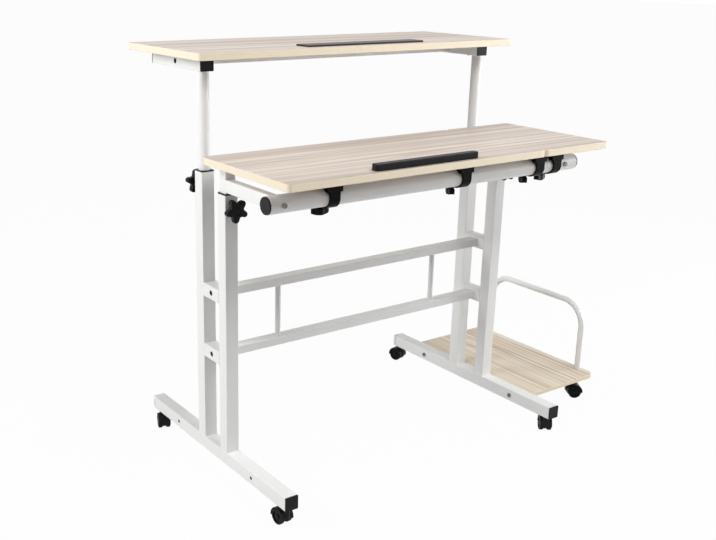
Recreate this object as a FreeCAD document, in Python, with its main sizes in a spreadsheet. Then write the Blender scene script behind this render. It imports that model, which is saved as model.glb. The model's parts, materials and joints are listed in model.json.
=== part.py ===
import FreeCAD, Part
import os
import re

import Sketcher

# Mobile standing desk, in millimetres, +Z up, floor at Z = 0.
# Every piece is drawn about the middle of the leg frame, X to the user's right and Y to the back,
# and its Placement moves it so that the part's origin is the middle of the whole footprint.

DIMENSIONS = [
    # Place of the leg frame in the part's own frame
    ("mid_x", -107, "X of the plane halfway between the legs"),
    ("mid_y", 12.1, "Y of the plane halfway between front and rear posts"),
    # Leg frame
    ("tube", 32, "side of the square leg tubes"),
    ("wall", 1.5, "wall of all the steel tubes"),
    ("tube_round", 2, "outer corner radius of the leg tubes"),
    ("leg_x", 406, "leg centre plane from the middle"),
    ("post_y", 50, "post centre line from the middle"),
    ("foot_length", 614, "foot with its end caps"),
    ("foot_z", 46, "underside of the feet"),
    ("front_cap", 3, "plate of a front foot cap"),
    ("rear_cap", 13, "plate of a rear foot cap"),
    ("cap_plug", 10, "plug of an end cap"),
    ("slack", 0.2, "gap round plugs"),
    ("front_post_top", 683, "top of the front post tube"),
    ("rear_post_top", 716, "top of the rear post tube"),
    ("rim", 3, "rim of a post bushing"),
    ("sleeve", 22, "sleeve of a post bushing"),
    ("lock_drop", 33, "lock knob below the bushing's rim"),
    ("cross_low", 300.5, "centre height of the lower rail"),
    ("cross_high", 447.5, "centre height of the upper rail"),
    ("rail_depth", 30, "rail section along Y"),
    ("rail_height", 20, "rail section along Z"),
    ("rail_end", 4, "end plate of a rail"),
    ("ladder_x", 241, "upright between the rails from the middle"),
    ("ladder_radius", 6.5, "radius of those uprights"),
    # Bolts
    ("bolt_y", 168.5, "side holes of the feet from the middle"),
    ("bolt_radius", 4, "shank radius of the frame bolts"),
    ("bolt_hole", 4.25, "radius of their holes"),
    ("bolt_access", 6.2, "radius of the holes that let a head into a cross-piece or a bracket"),
    ("bolt_head", 5.5, "radius of their heads"),
    ("bolt_head_height", 3, "height of their heads"),
    ("bolt_socket", 2.7, "radius of the socket in a head"),
    ("bolt_grip", 12, "bolt length beyond what it clamps"),
    ("screw_radius", 2, "shank radius of the wood screws"),
    ("screw_hole", 2.2, "radius of their holes"),
    ("screw_head", 3.5, "radius of their heads"),
    ("screw_head_height", 2.5, "height of their heads"),
    ("screw_bite", 9, "screw length in a board"),
    # Desk carriage
    ("desk_tube", 25, "side of the square inner tube"),
    ("desk_tube_round", 2, "its corner radius"),
    ("desk_tube_bottom", 105, "its lower end"),
    ("desk_gap", 0.25, "running gap in the square bushing"),
    ("glide", 8, "flange of a lower glide"),
    ("glide_gap", 0.3, "gap between a glide and its post"),
    ("glide_plug", 12, "plug of a lower glide"),
    ("rest_gap", 0.3, "gap between a rest pad and the panel"),
    ("rest_pad", 2.7, "plate of a rest pad"),
    ("arm_width", 20, "arm section along X"),
    ("arm_height", 28, "arm section along Z"),
    ("arm_z", 702.5, "centre height of an arm"),
    ("arm_end", 6, "end plate of an arm"),
    ("pipe_y", -249, "axis of the front pipe"),
    ("pipe_z", 701.5, "its height"),
    ("pipe_radius", 19, "its outer radius"),
    ("pipe_left", -436.5, "its left end without the cap"),
    ("pipe_length", 884.5, "its length without caps"),
    ("pipe_cap", 3.5, "plate of a pipe cap"),
    ("cap_step", 0.8, "step from the pipe in to its cap"),
    ("weld_gap", 0.05, "gap between the pipe and what is coped round it"),
    ("pipe_screw", 3, "shank radius of the pipe screws"),
    ("pipe_screw_hole", 3.2, "radius of their holes"),
    ("pipe_screw_head", 5.5, "radius of their heads"),
    ("pipe_screw_stand", 3, "height of their heads"),
    ("cross_slot", 1.3, "width and depth of a cross recess"),
    ("cross_span", 6.5, "length of a cross recess"),
    # Desk panels
    ("panel_front", -350, "front edge of the desk"),
    ("panel_depth", 326, "its depth"),
    ("panel_bottom", 748, "its underside"),
    ("panel_thick", 16, "thickness of the boards"),
    ("panel_left", -453, "left edge of the main panel"),
    ("main_width", 694, "width of the main panel"),
    ("side_width", 210, "width of the side panel"),
    ("seam", 3, "gap between the two panels"),
    ("board_round", 8, "corner radius of the boards"),
    ("edge_round", 1, "rounded edge of the boards"),
    ("stop_x", -96.5, "centre of the desk's stop bar"),
    ("stop_width", 279, "its length"),
    ("stop_depth", 20, "its depth"),
    ("stop_height", 14, "its height"),
    ("stop_inset", 9, "its distance from the front edge"),
    ("stop_round", 6, "radius of its ends"),
    ("stop_edge", 2.5, "radius of its edges"),
    ("groove", 1, "depth of the grooves that hold the stop bar and the shelf's ledge strip"),
    # Clamps that hang the panels on the pipe
    ("main_clamp_left", -284.5, "first clamp of the main panel"),
    ("main_clamp_right", 81, "second clamp of the main panel"),
    ("side_clamp_left", 317.5, "first clamp of the side panel"),
    ("side_clamp_right", 376, "second clamp of the side panel"),
    ("clamp_half", 13, "half width of a clamp"),
    ("clamp_gap", 0.3, "gap between a clamp and the pipe"),
    ("clamp_band", 3.5, "thickness of the strap"),
    ("flange_half", 19, "half width of the clamp's upper block"),
    ("flange_front", 22.8, "upper block in front of the pipe's axis"),
    ("flange_back", 56, "upper block behind the pipe's axis"),
    ("flange_thick", 33, "its height"),
    ("clamp_back", 42, "saddle and strap behind the pipe's axis"),
    ("clamp_split", 0.4, "gap between saddle and strap"),
    ("clamp_bolt_y", 30, "clamp bolt behind the pipe's axis"),
    ("clamp_bolt_top", 10, "upper end of the clamp bolt above the pipe's axis"),
    ("clamp_bolt_bottom", 42, "its lower end below the pipe's axis"),
    ("clamp_screw_x", 11, "panel screws either side of the clamp's middle"),
    ("clamp_screw_y", 49, "panel screws behind the pipe's axis"),
    # Wing knobs under the clamps
    ("wing_top", 23.5, "top of a wing knob below the pipe's axis"),
    ("wing_height", 20.5, "its height"),
    ("wing_hub", 9, "upper radius of its hub"),
    ("wing_hub_low", 8, "lower radius of its hub"),
    ("wing_reach", 22, "reach of a wing from the bolt"),
    ("wing_thick", 14, "thickness of a wing"),
    ("wing_drop", 6, "wing below the hub's top"),
    ("wing_round", 6, "radius of a wing's end"),
    ("wing_keel", 60, "radius of the curve under the wings"),
    ("wing_bore", 3.3, "radius of its bore"),
    # Shelf carriage
    ("shelf_tube_radius", 13, "radius of the round inner tube"),
    ("shelf_tube_bottom", 305, "its lower end"),
    ("shelf_gap", 0.3, "running gap in the round bushing"),
    ("shelf_bottom", 962, "underside of the shelf"),
    ("shelf_front", -23, "front edge of the shelf"),
    ("shelf_width", 912, "its width"),
    ("shelf_depth", 338, "its depth"),
    ("bracket_height", 28, "bracket section along Z"),
    ("bracket_front", 34.5, "front end of a bracket tube"),
    ("bracket_length", 222, "its length"),
    ("bracket_cap", 3, "plate of a bracket cap"),
    ("shelf_rail_y", 147, "rail between the brackets"),
    ("bracket_screw_front", 80, "front shelf screws"),
    ("bracket_screw_back", 225, "rear shelf screws"),
    ("ledge_x", 8.5, "centre of the shelf's ledge strip"),
    ("ledge_width", 341, "its length"),
    ("ledge_front", 4, "its front edge"),
    ("ledge_depth", 50, "its depth"),
    ("ledge_height", 4, "its height"),
    ("ledge_round", 3, "radius of its ends"),
    # Star knobs that lock the two carriages
    ("nut_radius", 8, "radius of the welded lock nut"),
    ("nut_length", 6, "its length"),
    ("stud_radius", 3.9, "radius of a star knob's stud"),
    ("stud_gap", 0.4, "gap between the stud and the inner tube"),
    ("stud_root", 8, "stud length inside the knob"),
    ("star_start", 1, "gap between nut and knob"),
    ("star_neck", 9, "radius of the knob's neck"),
    ("star_neck_length", 5, "its length"),
    ("star_hub", 17.5, "radius of the star's middle"),
    ("star_lobe", 7.5, "radius of a lobe"),
    ("star_reach", 19.5, "centre of a lobe from the axis"),
    ("star_thick", 15, "thickness of the star"),
    ("star_dish", 9, "radius of the dish in its face"),
    ("star_dish_depth", 2, "depth of the dish"),
    # Stand for a computer case, outside the right foot
    ("stand_gap", 0.5, "gap between the foot and the stand's board"),
    ("stand_outer", 670, "outer edge of the stand's board"),
    ("stand_depth", 440, "depth of the stand's board"),
    ("stand_thick", 10, "its thickness"),
    ("stand_round", 25, "its outer corner radius"),
    ("stand_rail", 20, "stand rail section along Y"),
    ("stand_rail_inset", 2, "rail end behind the board's outer edge"),
    ("stand_screw_x", 470, "inner screws of the stand's board"),
    ("access_hole", 5.5, "radius of the holes that reach the screws"),
    ("guard_x", 657, "plane of the guard hoop"),
    ("guard_radius", 8, "radius of the guard's tube"),
    ("guard_bend", 65, "bend radius of the guard"),
    ("guard_top", 265, "height of the guard's upper run"),
    ("guard_plug", 32, "closed length at a guard's foot"),
    ("guard_bite", 24, "screw length in a guard's foot"),
    # Casters
    ("stem_front", 285, "front stems from the middle"),
    ("stem_rear", 288, "rear stems from the middle"),
    ("stand_stem_x", 630, "stems of the stand"),
    ("stem_radius", 4, "radius of a stem"),
    ("stem_low", 25, "lower end of a stem"),
    ("stem_high", 60, "upper end of a stem"),
    ("collar_radius", 9, "radius of a stem's collar"),
    ("collar_height", 1.8, "its height"),
    ("pivot_gap", 0.05, "running gap round stems and axles"),
    ("wheel_radius", 18, "radius of a caster wheel"),
    ("wheel_inner", 5, "inner face of a wheel from the middle"),
    ("wheel_outer", 15.2, "its outer face"),
    ("wheel_round", 2, "rounded edge of the tread"),
    ("wheel_dish", 13, "radius of the dish in a wheel"),
    ("wheel_dish_depth", 2.5, "its depth"),
    ("wheel_hub", 6, "radius of the hub in the dish"),
    ("axle_radius", 3, "radius of a caster's axle"),
    ("trail", 14, "axle behind the stem"),
    ("web_half", 4.4, "half thickness of the web between the wheels"),
    ("web_radius", 15, "radius of that web"),
    ("hood_radius", 21, "outer radius of the hood"),
    ("hood_gap", 1.4, "gap between the hood and the wheels"),
    ("hood_bottom", 15, "lower edge of the hood"),
    ("boss_top", 43.4, "top of the swivel boss"),
]

STAR_LOBES = 5
SIDES = (("left", "-1"), ("right", "1"))

# Each caster's stem and the angle that its axle makes with X in the photographed position
CASTERS = [
    ("front_left", "-leg_x", "-stem_front", 4),
    ("rear_left", "-leg_x", "stem_rear", 160),
    ("front_right", "leg_x", "-stem_front", -38),
    ("rear_right", "leg_x", "stem_rear", 16),
    ("stand_front", "stand_stem_x", "-bolt_y", 236),
    ("stand_rear", "stand_stem_x", "bolt_y", 20),
]

# Each star knob's post, the way that it points and the turn of its lobes
STAR_KNOBS = [
    ("front_left", "-leg_x", "-1", "front_post_top", -26),
    ("front_right", "leg_x", "-1", "front_post_top", 18),
    ("rear_left", "-leg_x", "1", "rear_post_top", 48),
    ("rear_right", "leg_x", "1", "rear_post_top", 20),
]

# Each wing knob's clamp and the turn of its wings
WING_KNOBS = [
    ("main_left", "main_clamp_left", 4),
    ("main_right", "main_clamp_right", 62),
    ("side_left", "side_clamp_left", 58),
    ("side_right", "side_clamp_right", 15),
]

TURN_TO = {
    "x": FreeCAD.Rotation(FreeCAD.Vector(0, 1, 0), 90),
    "y": FreeCAD.Rotation(FreeCAD.Vector(1, 0, 0), -90),
    "z": FreeCAD.Rotation(),
}
UP = FreeCAD.Vector(0, 0, 1)

# Two points closer than this are taken as one when edges are picked
SAME_PLACE = 1e-6

# Half side of a sketch's first square before its constraints set the real size
SKETCH_START = 10

doc = FreeCAD.newDocument("mobile_standing_desk")
nodes = []


# Spreadsheet and expressions

sheet = doc.addObject("Spreadsheet::Sheet", "dims")
for row, (alias, number, meaning) in enumerate(DIMENSIONS, 1):
    sheet.set(f"A{row}", meaning)
    sheet.set(f"B{row}", str(number))
    sheet.setAlias(f"B{row}", alias)
doc.recompute()


def bind(item, prop, formula):
    """Drive a property by a formula of the sheet's names."""
    item.setExpression(prop, re.sub(r"[a-z][a-z_]+", r"dims.\g<0>", formula))


def place(item, x="0", y="0", z="0", rotation=None):
    """Put an object at formulas of the sheet's names, turned by a fixed rotation."""
    item.Placement = FreeCAD.Placement(FreeCAD.Vector(), rotation or FreeCAD.Rotation())
    for axis, formula in zip("xyz", (x, y, z)):
        bind(item, f"Placement.Base.{axis}", formula)


# Primitives and booleans

def block(size, corner):
    """A box of three formulas, from its lowest corner."""
    item = doc.addObject("Part::Box", "block")
    for prop, formula in zip(("Length", "Width", "Height"), size):
        bind(item, prop, formula)
    place(item, *corner)
    return item


def rod(radius, length, start, axis="z"):
    """A cylinder from its start point along +X, +Y or +Z."""
    item = doc.addObject("Part::Cylinder", "rod")
    bind(item, "Radius", radius)
    bind(item, "Height", length)
    place(item, *start, rotation=TURN_TO[axis])
    return item


def join(pieces):
    """One solid made of overlapping or touching pieces."""
    item = doc.addObject("Part::MultiFuse", "join")
    item.Shapes = pieces
    item.Refine = True
    return item


def cut(base, tools):
    """A piece with others taken away."""
    item = doc.addObject("Part::Cut", "cut")
    item.Base = base
    item.Tool = tools[0] if len(tools) == 1 else join(tools)
    return item


def common(first, second):
    """What two pieces share."""
    item = doc.addObject("Part::Common", "common")
    item.Base = first
    item.Tool = second
    return item


def group(pieces):
    """Separate solids that share one node."""
    item = doc.addObject("Part::Compound", "group")
    item.Links = pieces
    return item


def node(item, name, x="mid_x", y="mid_y", z="0", rotation=None):
    """Name a finished sub-part and put it in the part's frame."""
    item.Label = name
    place(item, x, y, z, rotation)
    nodes.append(item)


# Bodies with sketches

def rectangle(body, sizes):
    """A sketch of rectangles centred on the body's origin, outer one first."""
    sketch = body.newObject("Sketcher::SketchObject", "outline")
    plane = next(item for item in body.Origin.OriginFeatures if item.Role == "XY_Plane")
    sketch.AttachmentSupport = (plane, [""])
    sketch.MapMode = "FlatFace"
    square = [(-1, -1), (1, -1), (1, 1), (-1, 1)]
    for index, (width, depth) in enumerate(sizes):
        reach = SKETCH_START - index
        corners = [FreeCAD.Vector(x * reach, y * reach, 0) for x, y in square]
        first = 4 * index
        for side in range(4):
            sketch.addGeometry(Part.LineSegment(corners[side], corners[(side + 1) % 4]), False)
        for side in range(4):
            following = first + (side + 1) % 4
            sketch.addConstraint(Sketcher.Constraint("Coincident", first + side, 2, following, 1))
        for side, direction in enumerate(("Horizontal", "Vertical", "Horizontal", "Vertical")):
            sketch.addConstraint(Sketcher.Constraint(direction, first + side))
        sketch.addConstraint(Sketcher.Constraint("Symmetric", first, 1, first + 1, 2, -1, 1))
        for line, along, formula in ((first, "DistanceX", width), (first + 1, "DistanceY", depth)):
            number = sketch.addConstraint(Sketcher.Constraint(along, line, 1, line, 2, 2 * reach))
            bind(sketch, f"Constraints[{number}]", formula)
    return sketch


def pad(body, sketch, length):
    """A sketch raised along the body's Z."""
    feature = body.newObject("PartDesign::Pad", "pad")
    feature.Profile = sketch
    bind(feature, "Length", length)
    doc.recompute()
    return feature


def fillet(body, feature, edges, radius):
    """Rounded edges of a body's last feature."""
    rounded = body.newObject("PartDesign::Fillet", "rounded")
    rounded.Base = (feature, edges)
    bind(rounded, "Radius", radius)
    doc.recompute()
    return rounded


def upright_edges(feature, wanted):
    """Names of the edges along Z whose place passes a test."""
    names = []
    for number, edge in enumerate(feature.Shape.Edges, 1):
        low, high = edge.Vertexes[0].Point, edge.Vertexes[-1].Point
        is_upright = abs(low.x - high.x) + abs(low.y - high.y) < SAME_PLACE < abs(low.z - high.z)
        if is_upright and wanted(low):
            names.append(f"Edge{number}")
    return names


def rim_edges(feature, heights):
    """Names of the edges that lie flat at one of the given heights."""
    names = []
    for number, edge in enumerate(feature.Shape.Edges, 1):
        box = edge.BoundBox
        if box.ZLength < SAME_PLACE and any(abs(box.ZMin - height) < SAME_PLACE for height in heights):
            names.append(f"Edge{number}")
    return names


def bar(width, depth, length, corner, hollow=False):
    """A square or rectangular bar or tube along Z, with its long edges rounded."""
    body = doc.addObject("PartDesign::Body", "bar")
    sizes = [(width, depth)]
    if hollow:
        sizes.append((f"{width} - 2 * wall", f"{depth} - 2 * wall"))
    feature = pad(body, rectangle(body, sizes), length)
    outer = feature.Shape.BoundBox.XMax - SAME_PLACE
    fillet(body, feature, upright_edges(feature, lambda point: abs(point.x) > outer), corner)
    return body


def board(width, depth, thickness, corners, edge, along="x", lower_edge=True):
    """A flat board with rounded edges and with corners rounded differently at its two ends along X or Y."""
    body = doc.addObject("PartDesign::Body", "board")
    feature = pad(body, rectangle(body, [(width, depth)]), thickness)
    first, second = corners
    feature = fillet(body, feature, upright_edges(feature, lambda point: getattr(point, along) < 0), first)
    feature = fillet(body, feature, upright_edges(feature, lambda point: getattr(point, along) > 0), second)
    box = feature.Shape.BoundBox
    heights = (box.ZMin, box.ZMax) if lower_edge else (box.ZMax,)
    fillet(body, feature, rim_edges(feature, heights), edge)
    return body


# Feet and their caps

def foot(side, sign):
    """A square tube along Y with side holes for bolts and holes below for the caster stems."""
    tube = bar("tube", "tube", "foot_length - front_cap - rear_cap", "tube_round", hollow=True)
    place(tube, f"{sign} * leg_x", "front_cap - foot_length / 2", "foot_z + tube / 2", TURN_TO["y"])
    holes = []
    for end in ("-1", "1"):
        start = (f"{sign} * leg_x - tube", f"{end} * bolt_y", "foot_z + tube / 2")
        holes.append(rod("bolt_hole", "2 * tube", start, "x"))
    for place_y in ("-stem_front", "stem_rear"):
        start = (f"{sign} * leg_x", place_y, "foot_z - wall")
        holes.append(rod("bolt_hole", "tube / 2", start))
    node(cut(tube, holes), f"{side}_foot")


def foot_cap(sign, thickness, plate_y, plug_y):
    """A square plate flush with the tube, and a plug in the tube's end."""
    plate = bar("tube", "tube", thickness, "tube_round")
    place(plate, f"{sign} * leg_x", plate_y, "foot_z + tube / 2", TURN_TO["y"])
    inner = "tube - 2 * wall - 2 * slack"
    corner = (f"{sign} * leg_x - tube / 2 + wall + slack", plug_y, "foot_z + wall + slack")
    return join([plate, block((inner, "cap_plug", inner), corner)])


def rear_foot_cap(sign):
    """A rear cap, its plug drilled where the stem of a caster comes up."""
    stem_hole = rod("bolt_hole", "tube / 2", (f"{sign} * leg_x", "stem_rear", "foot_z"))
    return cut(foot_cap(sign, *REAR_CAP), [stem_hole])


FRONT_CAP = ("front_cap", "-foot_length / 2", "front_cap - foot_length / 2")
REAR_CAP = ("rear_cap", "foot_length / 2 - rear_cap", "foot_length / 2 - rear_cap - cap_plug")

for side, sign in SIDES:
    foot(side, sign)
node(group([foot_cap(sign, *FRONT_CAP) for side, sign in SIDES]), "front_foot_caps")
node(group([rear_foot_cap(sign) for side, sign in SIDES]), "rear_foot_caps")


# Posts, bushings and lock nuts

FOOT_TOP = "foot_z + tube"


def post(sign, end, top):
    """An upright tube with a hole for the lock stud in its outer face."""
    tube = bar("tube", "tube", f"{top} - foot_z - tube", "tube_round", hollow=True)
    place(tube, f"{sign} * leg_x", f"{end} * post_y", FOOT_TOP)
    hole_y = "post_y" if end == "1" else "-post_y - tube"
    return cut(tube, [rod("bolt_hole", "tube", (f"{sign} * leg_x", hole_y, f"{top} + rim - lock_drop"), "y")])


def lock_nut(sign, end, top):
    """A round nut welded on the outer face of a post."""
    height = f"{top} + rim - lock_drop"
    start_y = "post_y + tube / 2" if end == "1" else "-post_y - tube / 2 - nut_length"
    start = (f"{sign} * leg_x", start_y, height)
    return cut(rod("nut_radius", "nut_length", start, "y"), [rod("bolt_hole", "nut_length", start, "y")])


def bushing(sign, end, top):
    """A plastic collar in the top of a post: a rim, a sleeve and a bore for the inner tube."""
    x, y = f"{sign} * leg_x", f"{end} * post_y"
    collar = bar("tube", "tube", "rim", "tube_round")
    place(collar, x, y, top)
    inner = "tube - 2 * wall - 2 * slack"
    sleeve = bar(inner, inner, "sleeve", "wall")
    place(sleeve, x, y, f"{top} - sleeve")
    if end == "1":
        bore = rod("shelf_tube_radius + shelf_gap", "sleeve + rim", (x, y, f"{top} - sleeve"))
    else:
        bore = bar("desk_tube + 2 * desk_gap", "desk_tube + 2 * desk_gap", "sleeve + rim", "desk_tube_round")
        place(bore, x, y, f"{top} - sleeve")
    return cut(join([collar, sleeve]), [bore])


POSTS = [(sign, end, top) for end, top in (("-1", "front_post_top"), ("1", "rear_post_top"))
         for side, sign in SIDES]
node(group([post(*entry) for entry in POSTS[:2]]), "front_posts")
node(group([post(*entry) for entry in POSTS[2:]]), "rear_posts")
node(group([bushing(*entry) for entry in POSTS]), "post_bushings")


# Cross-pieces, rails, uprights and bolts

RAIL_HEIGHTS = ("cross_low", "cross_high")


def rail_bolt_holes(sign, y, height):
    """Holes through a tube at a rail's end: one for the bolt, and a wider one outside for its head."""
    outside = "leg_x" if sign == "1" else "-leg_x - tube"
    return [rod("bolt_hole", "2 * tube", (f"{sign} * leg_x - tube", y, height), "x"),
            rod("bolt_access", "tube", (outside, y, height), "x")]


def cross_piece(sign, height):
    """A short tube between the two posts of a leg, drilled for a rail's bolt."""
    tube = bar("tube", "tube", "2 * post_y - tube", "tube_round", hollow=True)
    place(tube, f"{sign} * leg_x", "tube / 2 - post_y", height, TURN_TO["y"])
    return cut(tube, rail_bolt_holes(sign, "0", height))


def rail(y, height):
    """A rectangular tube from leg to leg, with end plates that take the bolts."""
    half = "leg_x - tube / 2"
    outer = bar("rail_height", "rail_depth", f"2 * ({half})", "tube_round")
    place(outer, f"-({half})", y, height, TURN_TO["x"])
    size = (f"2 * ({half} - rail_end)", "rail_depth - 2 * wall", "rail_height - 2 * wall")
    corner = (f"rail_end - ({half})", f"{y} + wall - rail_depth / 2", f"{height} - rail_height / 2 + wall")
    holes = [block(size, corner), rod("bolt_hole", f"2 * ({half})", (f"-({half})", y, height), "x")]
    return cut(outer, holes)


def ladder_bar(sign):
    """A round upright between the rails."""
    start = (f"{sign} * ladder_x", "0", "cross_low + rail_height / 2")
    return rod("ladder_radius", "cross_high - cross_low - rail_height", start)


def bolt(head_x, y, height, inward, length):
    """A socket-head bolt along X, its head outside the face at head_x."""
    if inward == "1":
        head_start, shank_start = f"{head_x} - bolt_head_height", head_x
        socket_start = f"{head_x} - 2 * bolt_head_height"
    else:
        head_start, shank_start = head_x, f"{head_x} - ({length})"
        socket_start = f"{head_x} + bolt_head_height / 2"
    head = rod("bolt_head", "bolt_head_height", (head_start, y, height), "x")
    shank = rod("bolt_radius", length, (shank_start, y, height), "x")
    socket = rod("bolt_socket", "3 * bolt_head_height / 2", (socket_start, y, height), "x")
    return cut(join([head, shank]), [socket])


def rail_bolts(y, height):
    """The two bolts of a rail, their heads inside the tubes at its ends."""
    return [bolt("tube / 2 - wall - leg_x", y, height, "1", "wall + bolt_grip"),
            bolt("leg_x - tube / 2 + wall", y, height, "-1", "wall + bolt_grip")]


node(group([cross_piece(sign, height) for side, sign in SIDES for height in RAIL_HEIGHTS]), "cross_pieces")
node(group([rail("0", height) for height in RAIL_HEIGHTS]), "rails")
node(group([ladder_bar(sign) for side, sign in SIDES]), "ladder_bars")

fasteners = [lock_nut(*entry) for entry in POSTS]
for height in RAIL_HEIGHTS:
    fasteners += rail_bolts("0", height)
for end in ("-1", "1"):
    stand_bolt = bolt("leg_x - tube / 2", f"{end} * bolt_y", "foot_z + tube / 2", "1", "tube + bolt_grip")
    fasteners.append(stand_bolt)
node(group(fasteners), "frame_fasteners")


# Desk carriage: inner tubes, glides, rest pads, arms and the front pipe

PANEL_REST = "panel_bottom - rest_gap - rest_pad"
DESK_INNER = "desk_tube - 2 * wall - 2 * slack"
ARM_BACK = "-post_y - desk_tube / 2"


def square_plug(sign, side, z, height):
    """A square block on the axis of a front post."""
    corner = (f"{sign} * leg_x - ({side}) / 2", f"-post_y - ({side}) / 2", z)
    return block((side, side, height), corner)


def desk_inner_tube(sign):
    """The square tube that slides in a front post."""
    tube = bar("desk_tube", "desk_tube", f"{PANEL_REST} - desk_tube_bottom", "desk_tube_round", hollow=True)
    place(tube, f"{sign} * leg_x", "-post_y", "desk_tube_bottom")
    return tube


def desk_glide(sign):
    """The plastic foot of that tube, which guides it inside the post."""
    flange = square_plug(sign, "tube - 2 * wall - 2 * glide_gap", "desk_tube_bottom - glide", "glide")
    plug = square_plug(sign, DESK_INNER, "desk_tube_bottom", "glide_plug")
    return join([flange, plug])


def rest_pad(sign):
    """The plastic plug on top of that tube, on which the panel rests."""
    plate = bar("desk_tube", "desk_tube", "rest_pad", "desk_tube_round")
    place(plate, f"{sign} * leg_x", "-post_y", PANEL_REST)
    return join([plate, square_plug(sign, DESK_INNER, f"{PANEL_REST} - cap_plug", "cap_plug")])


def arm(sign):
    """The arm from the inner tube to the front pipe, flush with the tube outside and coped to fit the pipe."""
    middle = f"{sign} * (leg_x + desk_tube / 2 - arm_width / 2)"
    outer = bar("arm_width", "arm_height", f"{ARM_BACK} - pipe_y", "desk_tube_round")
    place(outer, middle, "pipe_y", "arm_z", TURN_TO["y"])
    size = ("arm_width - 2 * wall", f"{ARM_BACK} - pipe_y - pipe_radius - arm_end", "arm_height - 2 * wall")
    corner = (f"{middle} - arm_width / 2 + wall", "pipe_y + pipe_radius + arm_end",
              "arm_z - arm_height / 2 + wall")
    seat_start = (f"{middle} - arm_width", "pipe_y", "pipe_z")
    seat = rod("pipe_radius + weld_gap", "2 * arm_width", seat_start, "x")
    hole = rod("pipe_screw_hole", "2 * arm_height", (f"{sign} * leg_x", "pipe_y", "pipe_z"), "y")
    return cut(outer, [block(size, corner), seat, hole])


def front_pipe():
    """The round pipe on which both panels hang."""
    start = ("pipe_left", "pipe_y", "pipe_z")
    outer = rod("pipe_radius", "pipe_length", start, "x")
    tools = [rod("pipe_radius - wall", "pipe_length", start, "x")]
    for side, sign in SIDES:
        screw_start = (f"{sign} * leg_x", "pipe_y - 2 * pipe_radius", "pipe_z")
        tools.append(rod("pipe_screw_hole", "4 * pipe_radius", screw_start, "y"))
    return cut(outer, tools)


def pipe_cap(sign):
    """A round cap, a little smaller than the pipe, with a plug."""
    plate_x, plug_x = "pipe_left - pipe_cap", "pipe_left"
    if sign == "1":
        plate_x, plug_x = "pipe_left + pipe_length", "pipe_left + pipe_length - cap_plug"
    plate = rod("pipe_radius - cap_step", "pipe_cap", (plate_x, "pipe_y", "pipe_z"), "x")
    plug = rod("pipe_radius - wall - slack", "cap_plug", (plug_x, "pipe_y", "pipe_z"), "x")
    return join([plate, plug])


def pipe_screw(sign):
    """A cross-head screw through the pipe into an arm."""
    x = f"{sign} * leg_x"
    face = "pipe_y - pipe_radius - pipe_screw_stand"
    head = rod("pipe_screw_head", "2 * pipe_screw_stand", (x, face, "pipe_z"), "y")
    seat = rod("pipe_radius + weld_gap", "4 * pipe_screw_head",
               (f"{x} - 2 * pipe_screw_head", "pipe_y", "pipe_z"), "x")
    shank = rod("pipe_screw", "2 * pipe_radius + pipe_screw_stand + 2 * arm_end",
                (x, "pipe_y - pipe_radius - pipe_screw_stand / 2", "pipe_z"), "y")
    slots = [
        block(("cross_span", "cross_slot", "cross_slot"),
              (f"{x} - cross_span / 2", face, "pipe_z - cross_slot / 2")),
        block(("cross_slot", "cross_slot", "cross_span"),
              (f"{x} - cross_slot / 2", face, "pipe_z - cross_span / 2")),
    ]
    return cut(join([cut(head, [seat]), shank]), slots)


for name, maker in (("desk_inner_tubes", desk_inner_tube), ("desk_tube_glides", desk_glide),
                    ("desk_rest_pads", rest_pad), ("desk_arms", arm), ("front_pipe_caps", pipe_cap),
                    ("front_pipe_screws", pipe_screw)):
    node(group([maker(sign) for side, sign in SIDES]), name)
node(front_pipe(), "front_pipe")


# Clamps: saddle, strap and bolt, drawn about the pipe's axis

PANEL_RISE = "panel_bottom - pipe_z"
STRAP_OUTER = "pipe_radius + clamp_gap + clamp_band"
STRAP_INNER = "pipe_radius + clamp_gap"


def clamp_screw_rods(x, radius, z, height):
    """Two upright cylinders where a clamp's upper block is screwed to its panel."""
    starts = [(f"{x} + {sign} * clamp_screw_x", "clamp_screw_y", z) for side, sign in SIDES]
    return [rod(radius, height, start) for start in starts]


def saddle(x):
    """The upper half of a clamp: a wide block under the panel and a narrower one over and behind the pipe."""
    flange = block(("2 * flange_half", "flange_front + flange_back", "flange_thick"),
                   (f"{x} - flange_half", "-flange_front", f"{PANEL_RISE} - flange_thick"))
    low = f"clamp_split - ({STRAP_INNER})"
    body = block(("2 * clamp_half", f"{STRAP_OUTER} + clamp_back", f"{PANEL_RISE} - flange_thick - ({low})"),
                 (f"{x} - clamp_half", f"-({STRAP_OUTER})", low))
    bore = rod(STRAP_INNER, "4 * clamp_half", (f"{x} - 2 * clamp_half", "0", "0"), "x")
    front = block(("4 * clamp_half", "2 * flange_front", "2 * flange_front"),
                  (f"{x} - 2 * clamp_half", "-2 * flange_front", "clamp_split - 2 * flange_front"))
    bolt_start = (x, "clamp_bolt_y", "-clamp_bolt_bottom")
    hole = rod("pipe_screw_hole", "clamp_bolt_top + clamp_bolt_bottom", bolt_start)
    holes = clamp_screw_rods(x, "screw_hole", f"{PANEL_RISE} - 2 * flange_thick", "2 * flange_thick")
    return cut(join([flange, body]), [bore, front, hole] + holes)


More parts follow.
